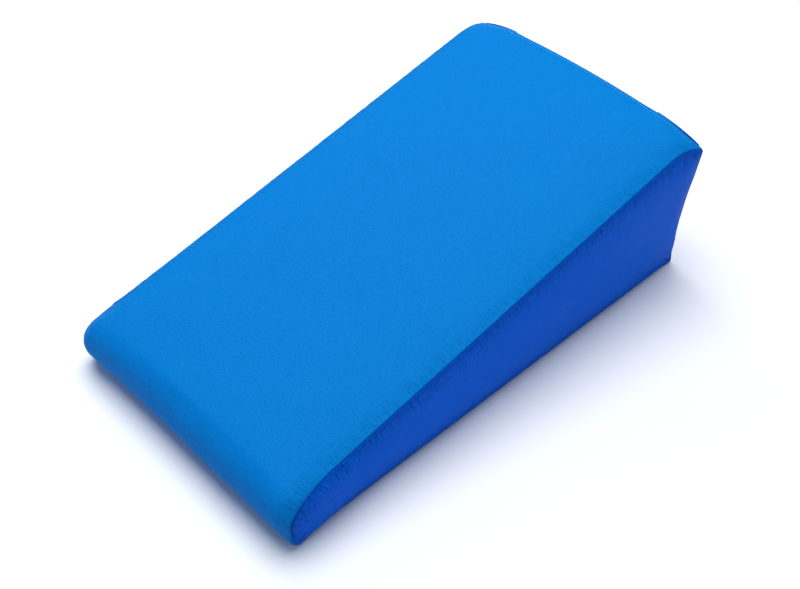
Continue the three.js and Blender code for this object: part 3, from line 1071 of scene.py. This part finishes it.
ramp_run = [top_point(s, 1) for s in TOP_ROWS]
ridge_run = [top_point(OUTLINE, across) for across in ACROSS]
corner_run = [corner_place(k) for k in range(NOSE_ROWS + 1)]
base_side = [base_place(COLUMNS, row) for row in range(SIDE_COLUMNS + 1)]
nose_run = [base_place(column, 0) for column in range(COLUMNS + 1)]
heel_run = [base_place(column, SIDE_COLUMNS) for column in range(COLUMNS + 1)]
left_ramp_run = [mirrored(p) for p in ramp_run]
left_corner_run = [mirrored(p) for p in corner_run]
left_base_side = [mirrored(p) for p in base_side]
base_runs = [base_side, left_base_side, nose_run, heel_run]
sew("right_ramp_seam_thread", [ramp_run], into_seam, "right_seam_thread", SEAM_SINK)
sew("left_ramp_seam_thread", [left_ramp_run], into_seam, "left_seam_thread", SEAM_SINK)
sew("ridge_seam_thread", [ridge_run], into_seam, "back_top_seam_thread", SEAM_SINK)
sew("right_corner_seam_thread", [corner_run], into_seam, "back_right_seam_thread", SEAM_SINK)
sew("left_corner_seam_thread", [left_corner_run], into_seam, "back_left_seam_thread", SEAM_SINK)
sew("base_seam_stitches", base_runs, into_seam, "base_seam_thread", SEAM_SINK)
sew("ridge_stitches", [row_points[3:-3]], on_surface(ramp_cover), "back_edge_topstitching", ROW_SINK)

for name, node in (("upper", "zip_stitching_upper"), ("lower", "zip_stitching_lower")):
    low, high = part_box(node)
    row_z = (low.z + high.z) / 2
    wide = high.x - low.x
    row = [Vector((low.x + wide * n / ZIP_ROW_STEPS, BACK, row_z)) for n in range(ZIP_ROW_STEPS + 1)]
    strip = bpy.data.objects[f"back_cover_{name}"]
    sew(f"zip_{name}_stitches", [row], on_surface(strip), node, ROW_SINK)

# ---- Zip tapes
# Two woven polyester tapes, sewn behind the turned edges of the back strips. Each tape's inner edge is
# straight and carries its coil, and its outer edge wanders a little.
WEAVE_SCALE = 420.0
COIL_STRIP = 0.0009
TAPE_PARTS = 30
OUTER_FROM = 0.012
EDGE_WANDER = 0.00025
WANDER_LENGTH = 0.02
TAPE_EDGE = 0.00018

tape_stuff, shade, surface = new_material("woven_tape")
where = shade.place()
woven_bands = {"Vector": where, "Scale": WEAVE_SCALE}
ribs = shade.node("ShaderNodeTexWave", {"wave_type": "BANDS", "bands_direction": "X"}, woven_bands)
cross = shade.node("ShaderNodeTexWave", {"wave_type": "BANDS", "bands_direction": "Z"}, woven_bands)
woven = ribs * 0.6 + cross * 0.4
tape_colour = shade.mix(woven, (0.004, 0.07, 0.3, 1), (0.01, 0.12, 0.42, 1))
tape_bump = shade.bump(woven, 0.0002, 0.7)
wire(shade, surface, Base_Color=tape_colour, Roughness=0.85, Normal=tape_bump)

for node in ("zip_tape_upper", "zip_tape_lower"):
    low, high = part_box(node)
    size = high - low
    bpy.ops.object.select_all(action="DESELECT")
    bpy.ops.mesh.primitive_cube_add(size=1, location=(low + high) / 2, scale=size)
    tape = bpy.context.object
    tape.name = node.replace("zip_tape", "woven_zip_tape")
    bpy.ops.object.transform_apply(location=True, rotation=True, scale=True)
    bpy.ops.object.mode_set(mode="EDIT")
    inner_z = low.z if node.endswith("upper") else high.z
    step = COIL_STRIP if node.endswith("upper") else -COIL_STRIP
    bpy.ops.mesh.select_all(action="SELECT")
    bpy.ops.mesh.bisect(plane_co=(0, 0, inner_z + step), plane_no=(0, 0, 1))
    for n in range(1, TAPE_PARTS):
        bpy.ops.mesh.select_all(action="SELECT")
        bpy.ops.mesh.bisect(plane_co=(low.x + size.x * n / TAPE_PARTS, 0, 0), plane_no=(1, 0, 0))
    bpy.ops.object.mode_set(mode="OBJECT")
    for vertex in tape.data.vertices:
        outer = abs(vertex.co.z - inner_z) > OUTER_FROM
        vertex.co.z += EDGE_WANDER * noise.noise(Vector((vertex.co.x / WANDER_LENGTH, 3.0, 0.0))) * outer
    edge_round = tape.modifiers.new("woven_edge", "BEVEL")
    edge_round.width = TAPE_EDGE
    edge_round.segments = 2
    edge_round.limit_method = "ANGLE"
    bpy.ops.object.modifier_apply(modifier=edge_round.name)
    bpy.ops.object.shade_smooth_by_angle(angle=radians(40))
    tape.data.materials.append(tape_stuff)
    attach(tape, "cushion")
    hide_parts(node)

# ---- Zip coils
# A stiff nylon thread wound in a flat coil along the inner edge of each tape. The turns of the lower coil lie
# between those of the upper one, and their heads mesh along the middle of the zip.
COIL_PITCH = 0.0014
COIL_WIRE = 0.00028
COIL_STEPS = 12
MESH_DEPTH = 0.0005
COIL_OVERHANG = 0.0006
LOWER_LAG = 0.45

nylon, shade, surface = new_material("nylon_coil")
where = shade.place()
streak = shade.noise(where, 500.0, 3.0)
nylon_colour = shade.mix(streak, (0.004, 0.085, 0.38, 1), (0.012, 0.15, 0.52, 1))
nylon_bump = shade.bump(streak, 0.00006, 0.5)
wire(shade, surface, Base_Color=nylon_colour, Roughness=0.32, Normal=nylon_bump)

for node, side in (("zip_coil_upper", 1), ("zip_coil_lower", -1)):
    low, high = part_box(node)
    middle = (low + high) / 2
    middle.z -= side * MESH_DEPTH / 2
    deep = (high.y - low.y) / 2 - COIL_WIRE
    wide = (high.z - low.z + MESH_DEPTH + COIL_OVERHANG) / 2 - COIL_WIRE
    turns = int((high.x - low.x) / COIL_PITCH)
    curve = bpy.data.curves.new(node, "CURVE")
    curve.dimensions = "3D"
    curve.bevel_depth = COIL_WIRE
    curve.bevel_resolution = 1
    curve.use_fill_caps = True
    spline = curve.splines.new("POLY")
    spline.points.add(turns * COIL_STEPS - 1)
    lag = 0.0 if side > 0 else LOWER_LAG
    for n, point in enumerate(spline.points):
        angle = 2 * pi * (n / COIL_STEPS)
        x = low.x + COIL_PITCH * (n / COIL_STEPS + lag)
        point.co = (x, middle.y + deep * sin(angle), middle.z - side * wide * cos(angle), 1)
    coil = bpy.data.objects.new(node.replace("zip_coil", "nylon_coil"), curve)
    bpy.context.collection.objects.link(coil)
    select_only(coil)
    bpy.ops.object.convert(target="MESH")
    coil = bpy.context.object
    bpy.ops.object.shade_smooth()
    coil.data.materials.append(nylon)
    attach(coil, "cushion")
    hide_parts(node)

# ---- Zip metalwork
# Die-cast zinc, nickel plated: a clip stop at each end of the coils, the slider that closes them, and the
# pull tab caught under the slider's arch. Edges are tumbled round, and the plating is faintly brushed and
# stained.
plating, shade, surface = new_material("nickel_plate")
where = shade.place()
brush = shade.noise(where, 900.0, 4.0, 0.6)
stain = shade.noise(where, 120.0, 3.0)
metal_colour = shade.mix(stain, (0.56, 0.565, 0.57, 1), (0.74, 0.74, 0.73, 1))
metal_bump = shade.bump(brush, 0.00003, 0.5)
metal_roughness = 0.2 + brush * 0.25
wire(shade, surface, Base_Color=metal_colour, Metallic=1.0, Roughness=metal_roughness, Normal=metal_bump)


def tumbled(node, name, radius, body):
    """A copy of a cast part with its edges rounded."""
    cast = copy_of(frame["nodes"][node], name)
    cast.hide_render = False
    if "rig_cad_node" in cast:
        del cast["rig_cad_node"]
    select_only(cast)
    bpy.ops.object.mode_set(mode="EDIT")
    bpy.ops.mesh.select_all(action="SELECT")
    bpy.ops.mesh.remove_doubles(threshold=SAME_PLACE)
    bpy.ops.mesh.dissolve_limited(angle_limit=radians(2))
    bpy.ops.object.mode_set(mode="OBJECT")
    rounding = cast.modifiers.new("tumbled_edges", "BEVEL")
    rounding.width = radius
    rounding.segments = 3
    rounding.limit_method = "ANGLE"
    rounding.angle_limit = radians(35)
    bpy.ops.object.modifier_apply(modifier=rounding.name)
    bpy.ops.object.shade_smooth_by_angle(angle=radians(35))
    cast.data.materials.clear()
    cast.data.materials.append(plating)
    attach(cast, body)
    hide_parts(node)


tumbled("zip_stop_right", "end_stop_right", 0.0002, "cushion")
tumbled("zip_stop_left", "end_stop_left", 0.0002, "cushion")
tumbled("zip_slider", "cast_slider", 0.00028, "slider")
tumbled("zip_pull_tab", "cast_pull_tab", 0.00022, "pull_tab")

bpy.data.objects.remove(form)
